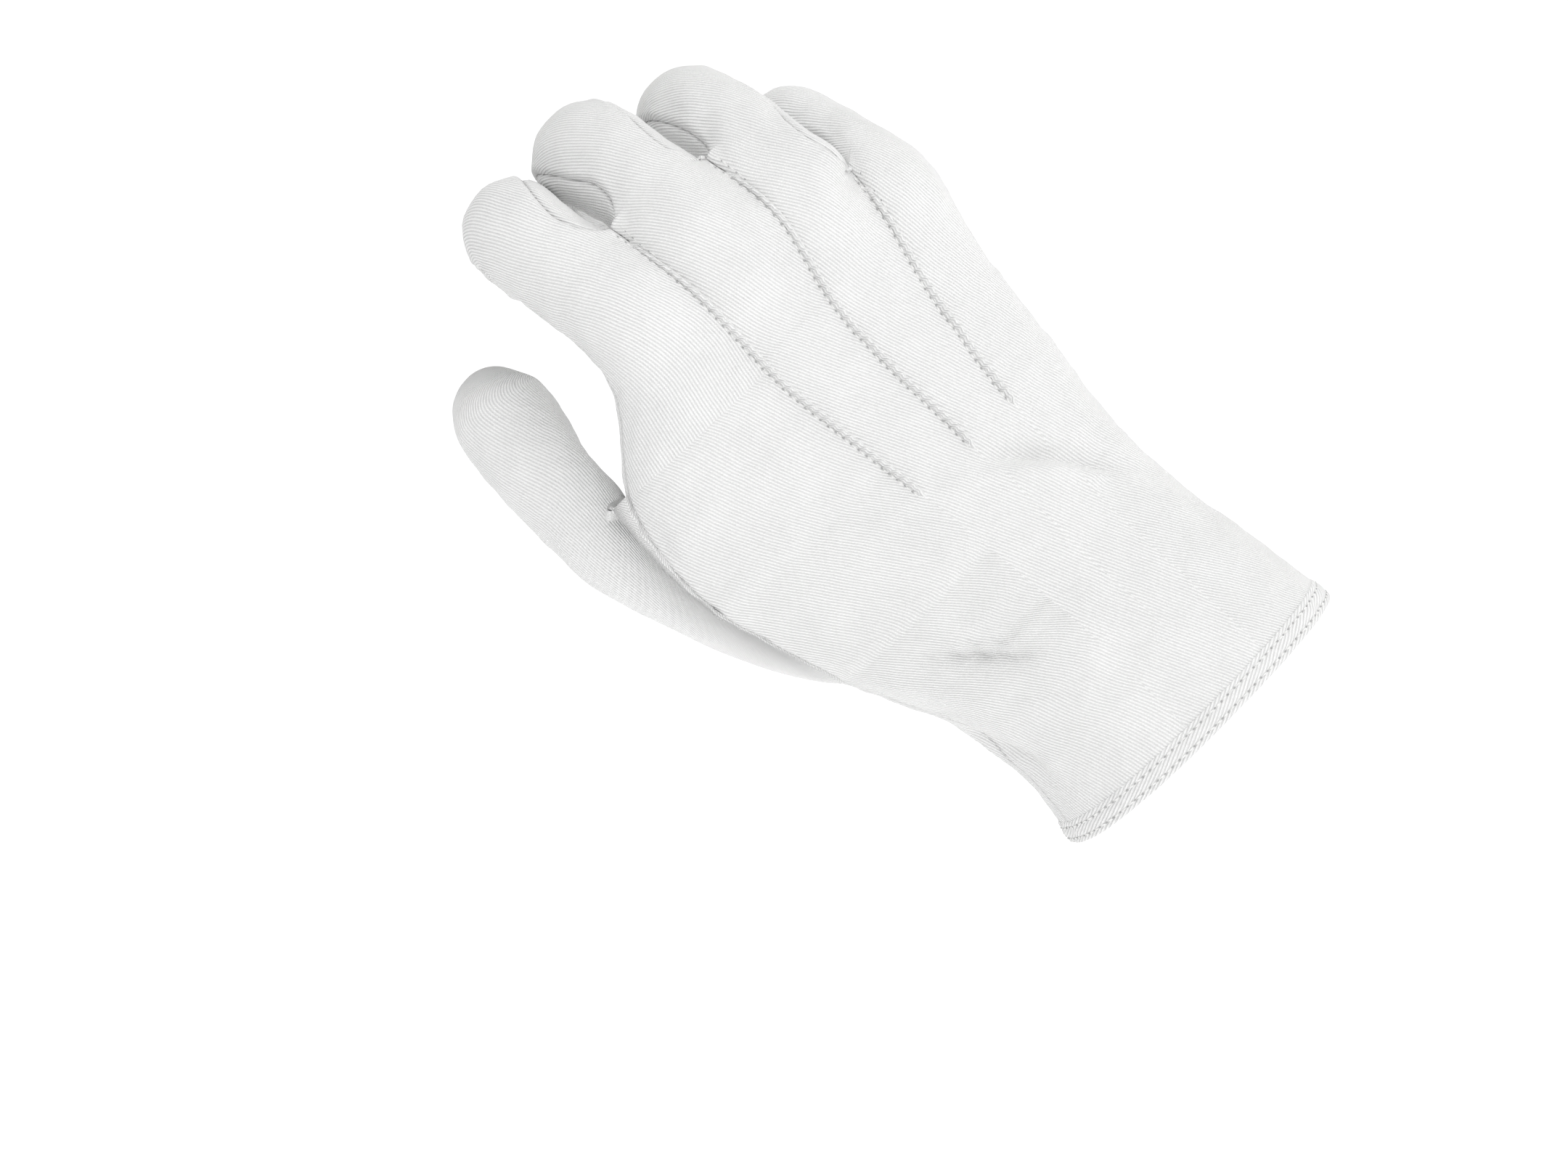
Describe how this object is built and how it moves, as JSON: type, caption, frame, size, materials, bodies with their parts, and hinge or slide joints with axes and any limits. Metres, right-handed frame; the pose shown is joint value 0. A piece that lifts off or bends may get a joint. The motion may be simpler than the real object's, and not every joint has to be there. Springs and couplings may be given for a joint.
{
  "type": "parade glove",
  "caption": "Right-hand white cotton dress glove in its worn shape: curled fingers, raised stitched points on the back, and a bound wrist vent that closes with a press stud.",
  "frame": {"origin": "Centre of the cuff's opening, where the wrist goes in", "axes": "+Z from the cuff along the forearm to the fingertips, +X to the little finger's side, and the back of the hand faces -Y"},
  "size_m": [0.1148, 0.0938, 0.186],
  "materials": {
    "cotton": "matt fine cotton knit",
    "nickel": "polished nickel plate"
  },
  "bodies": {
    "root": {"back_panel": "cotton", "palm_panel": "cotton", "thumb_panel": "cotton", "fourchette_index_middle": "cotton", "fourchette_middle_ring": "cotton", "fourchette_ring_little": "cotton", "back_point_1": "cotton", "back_point_2": "cotton", "back_point_3": "cotton", "cuff_hem": "cotton", "vent_binding": "cotton", "snap_stud": "nickel", "snap_socket": "nickel", "stud_rivet": "nickel", "socket_rivet": "nickel"}
  },
  "joints": []
}
